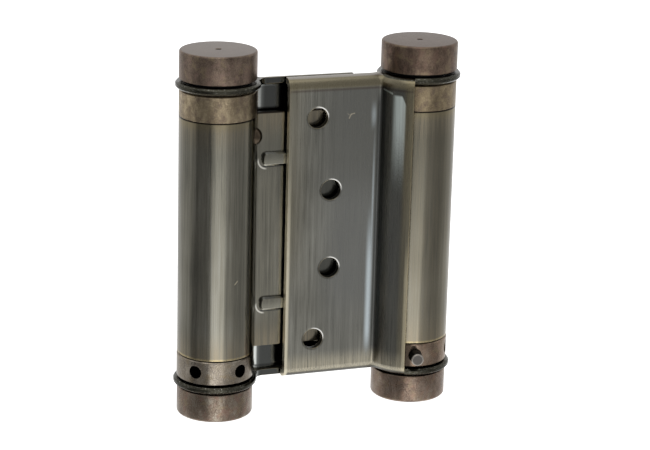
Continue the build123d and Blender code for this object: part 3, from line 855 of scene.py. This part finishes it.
def light(name, place, aim, size, power):
    """A rectangular soft lamp at a place in millimetres, turned to face a point."""
    lamp = bpy.data.lights.new(name, "AREA")
    lamp.shape = "RECTANGLE"
    lamp.size, lamp.size_y = (side * MM for side in size)
    lamp.energy = power
    holder = bpy.data.objects.new(name, lamp)
    bpy.context.scene.collection.objects.link(holder)
    holder.location = Vector(place) * MM
    toward = (Vector(aim) - Vector(place)).normalized()
    holder.rotation_euler = toward.to_track_quat("-Z", "Y").to_euler()


def camera():
    """A camera at the fitted place. It looks along a line the yaw's angle from Y toward X and the
    pitch's angle down from level, and it is turned about that line by the roll."""
    yaw, pitch, roll = (math.radians(a) for a in (CAMERA_YAW, CAMERA_PITCH, CAMERA_ROLL))
    over_floor = math.cos(pitch)
    ahead = Vector((math.sin(yaw) * over_floor, math.cos(yaw) * over_floor, -math.sin(pitch)))
    level = Vector((math.cos(yaw), -math.sin(yaw), 0.0))
    upright = level.cross(ahead)
    right = math.cos(roll) * level + math.sin(roll) * upright
    up = math.cos(roll) * upright - math.sin(roll) * level
    view = bpy.data.cameras.new("view")
    view.lens = CAMERA_LENS
    view.sensor_width = SENSOR_WIDTH
    view.clip_start = 0.01
    holder = bpy.data.objects.new("view", view)
    bpy.context.scene.collection.objects.link(holder)
    turn = Matrix((right, up, -ahead)).transposed().to_4x4()
    holder.matrix_world = Matrix.Translation(Vector(CAMERA_PLACE) * MM) @ turn
    bpy.context.scene.camera = holder


def smooth_step(tree, value, levels):
    """Nothing at the first level of a value, one at the second, and smooth between them."""
    step = tree.nodes.new("ShaderNodeMapRange")
    step.interpolation_type = "SMOOTHSTEP"
    step.inputs["From Min"].default_value, step.inputs["From Max"].default_value = levels
    tree.links.new(value, step.inputs["Value"])
    return step.outputs["Result"]


def mixed(tree, share, first, second):
    """The first light, with a share of the second, or of one plain colour, in its place."""
    mix = tree.nodes.new("ShaderNodeMix")
    mix.data_type = "RGBA"
    tree.links.new(share, mix.inputs["Factor"])
    tree.links.new(first, mix.inputs[6])
    if isinstance(second, tuple):
        mix.inputs[7].default_value = second
    else:
        tree.links.new(second, mix.inputs[7])
    return mix.outputs[2]


def room_light(tree, share, stops):
    """The light by the share of a whole turn round from the camera."""
    ramp = tree.nodes.new("ShaderNodeValToRGB")
    ramp.color_ramp.interpolation = "EASE"
    elements = ramp.color_ramp.elements
    while len(elements) < len(stops):
        elements.new(0.5)
    for element, (angle, level) in zip(elements, stops):
        element.position = (angle + 180.0) / 360.0
        element.color = (level, level, level, 1.0)
    tree.links.new(share, ramp.inputs["Fac"])
    return ramp.outputs["Color"]


def world():
    """White to the camera. To everything else it is a room of soft light and shade around the
    hinge, whose strength goes by the direction's angle round from the camera and by its height."""
    room = bpy.data.worlds.new("room")
    room.use_nodes = True
    bpy.context.scene.world = room
    tree = room.node_tree
    tree.nodes.clear()

    where = tree.nodes.new("ShaderNodeTexCoord")
    turned = tree.nodes.new("ShaderNodeVectorRotate")
    turned.rotation_type = "Z_AXIS"
    turned.inputs["Angle"].default_value = math.radians(CAMERA_YAW + 90.0)
    tree.links.new(where.outputs["Generated"], turned.inputs["Vector"])
    split = tree.nodes.new("ShaderNodeSeparateXYZ")
    tree.links.new(turned.outputs["Vector"], split.inputs[0])
    angle = tree.nodes.new("ShaderNodeMath")
    angle.operation = "ARCTAN2"
    tree.links.new(split.outputs["Y"], angle.inputs[0])
    tree.links.new(split.outputs["X"], angle.inputs[1])
    share = tree.nodes.new("ShaderNodeMapRange")
    share.inputs["From Min"].default_value = -math.pi
    share.inputs["From Max"].default_value = math.pi
    tree.links.new(angle.outputs["Value"], share.inputs["Value"])

    low, high, above = (
        room_light(tree, share.outputs["Result"], stops)
        for stops in (ROOM_LIGHT_LOW, ROOM_LIGHT_HIGH, ROOM_LIGHT_ABOVE)
    )
    rise = split.outputs["Z"]
    level = mixed(tree, smooth_step(tree, rise, FEET_TO_TOPS), low, high)
    level = mixed(tree, smooth_step(tree, rise, EVEN_BELOW), level, ROOM_LIGHT_BELOW)
    level = mixed(tree, smooth_step(tree, rise, HORIZON), level, above)

    cast = tree.nodes.new("ShaderNodeBackground")
    cast.inputs["Strength"].default_value = ROOM_STRENGTH
    tree.links.new(level, cast.inputs["Color"])
    seen = tree.nodes.new("ShaderNodeBackground")
    seen.inputs["Color"].default_value = (1.0, 1.0, 1.0, 1.0)
    path = tree.nodes.new("ShaderNodeLightPath")
    mix = tree.nodes.new("ShaderNodeMixShader")
    tree.links.new(path.outputs["Is Camera Ray"], mix.inputs["Fac"])
    tree.links.new(cast.outputs["Background"], mix.inputs[1])
    tree.links.new(seen.outputs["Background"], mix.inputs[2])
    out = tree.nodes.new("ShaderNodeOutputWorld")
    tree.links.new(mix.outputs["Shader"], out.inputs["Surface"])


def floor():
    """A pale floor that looks nearly white to the camera, takes the hinge's shadow and leaves
    the room's light to the reflections."""
    side = 3000.0
    corners = np.array(((-side, -side, 0), (side, -side, 0), (side, side, 0), (-side, side, 0)))
    mesh = bpy.data.meshes.new("floor")
    mesh.from_pydata((corners * MM).tolist(), [], [(0, 1, 2, 3)])
    ground = bpy.data.objects.new("floor", mesh)
    bpy.context.scene.collection.objects.link(ground)

    pale = bpy.data.materials.new("pale_floor")
    pale.use_nodes = True
    tree = pale.node_tree
    tree.nodes.clear()
    path = tree.nodes.new("ShaderNodeLightPath")
    matt = tree.nodes.new("ShaderNodeBsdfDiffuse")
    matt.inputs["Color"].default_value = (0.8, 0.8, 0.8, 1.0)
    glow = tree.nodes.new("ShaderNodeEmission")
    tree.links.new(path.outputs["Is Camera Ray"], glow.inputs["Strength"])
    both = tree.nodes.new("ShaderNodeAddShader")
    tree.links.new(matt.outputs["BSDF"], both.inputs[0])
    tree.links.new(glow.outputs["Emission"], both.inputs[1])
    clear = tree.nodes.new("ShaderNodeBsdfTransparent")
    mix = tree.nodes.new("ShaderNodeMixShader")
    tree.links.new(path.outputs["Is Glossy Ray"], mix.inputs["Fac"])
    tree.links.new(both.outputs["Shader"], mix.inputs[1])
    tree.links.new(clear.outputs["BSDF"], mix.inputs[2])
    out = tree.nodes.new("ShaderNodeOutputMaterial")
    tree.links.new(mix.outputs["Shader"], out.inputs["Surface"])
    mesh.materials.append(pale)


def dress():
    """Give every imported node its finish, or the piece that replaces it."""
    tubes_low, tubes_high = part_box("centre_leaf")
    paint("front_leaf", leaf_brass("front_leaf_brass", 1, SCRATCHES))
    paint("back_leaf", leaf_brass("back_leaf_brass", -1))
    paint("centre_leaf", tube_brass("tube_brass", (tubes_high[2] - tubes_low[2]) / 2 / MM))
    seam = tubes_low[2] / MM - MIDDLE_HEIGHT
    rivet = plain_steel("rivet_brown", RIVET_BROWN, 0.16)
    bare = plain_steel("dark_steel", BARE_STEEL, 0.5)
    spring = plain_steel("spring_steel", SPRING_STEEL, 0.4)
    for side, facing, leaf in (("right", 1, "front_leaf"), ("left", -1, "back_leaf")):
        turned_cap(f"{side}_top_cap", turned_plating(f"{side}_brown"), True, 1)
        turned_cap(f"{side}_bottom_cap", turned_plating(f"{side}_foot_brown"), False, -1)
        paint(f"{side}_spring_plug", turned_plating(f"{side}_tan"))
        paint(f"{side}_tension_collar", turned_plating(f"{side}_grey", seam))
        paint(f"{side}_tension_pin", pin_steel(f"{side}_pin_steel", f"{side}_tension_pin"))
        paint(f"{side}_plug_rivet", rivet)
        for piece in ("spindle", "top_washer", "bottom_washer"):
            paint(f"{side}_{piece}", bare)
        twisting_spring(side, facing, spring)


def lights():
    """Two soft boxes, one above the hinge and one in front of it."""
    aim = (0.0, 0.0, 46.0)
    light("above", (-60.0, -120.0, 520.0), aim, (420.0, 320.0), 0.35)
    light("front", (-200.0, -480.0, 420.0), aim, (300.0, 200.0), 0.12)


bpy.context.scene.view_settings.view_transform = "Standard"
dress()
camera()
world()
floor()
lights()
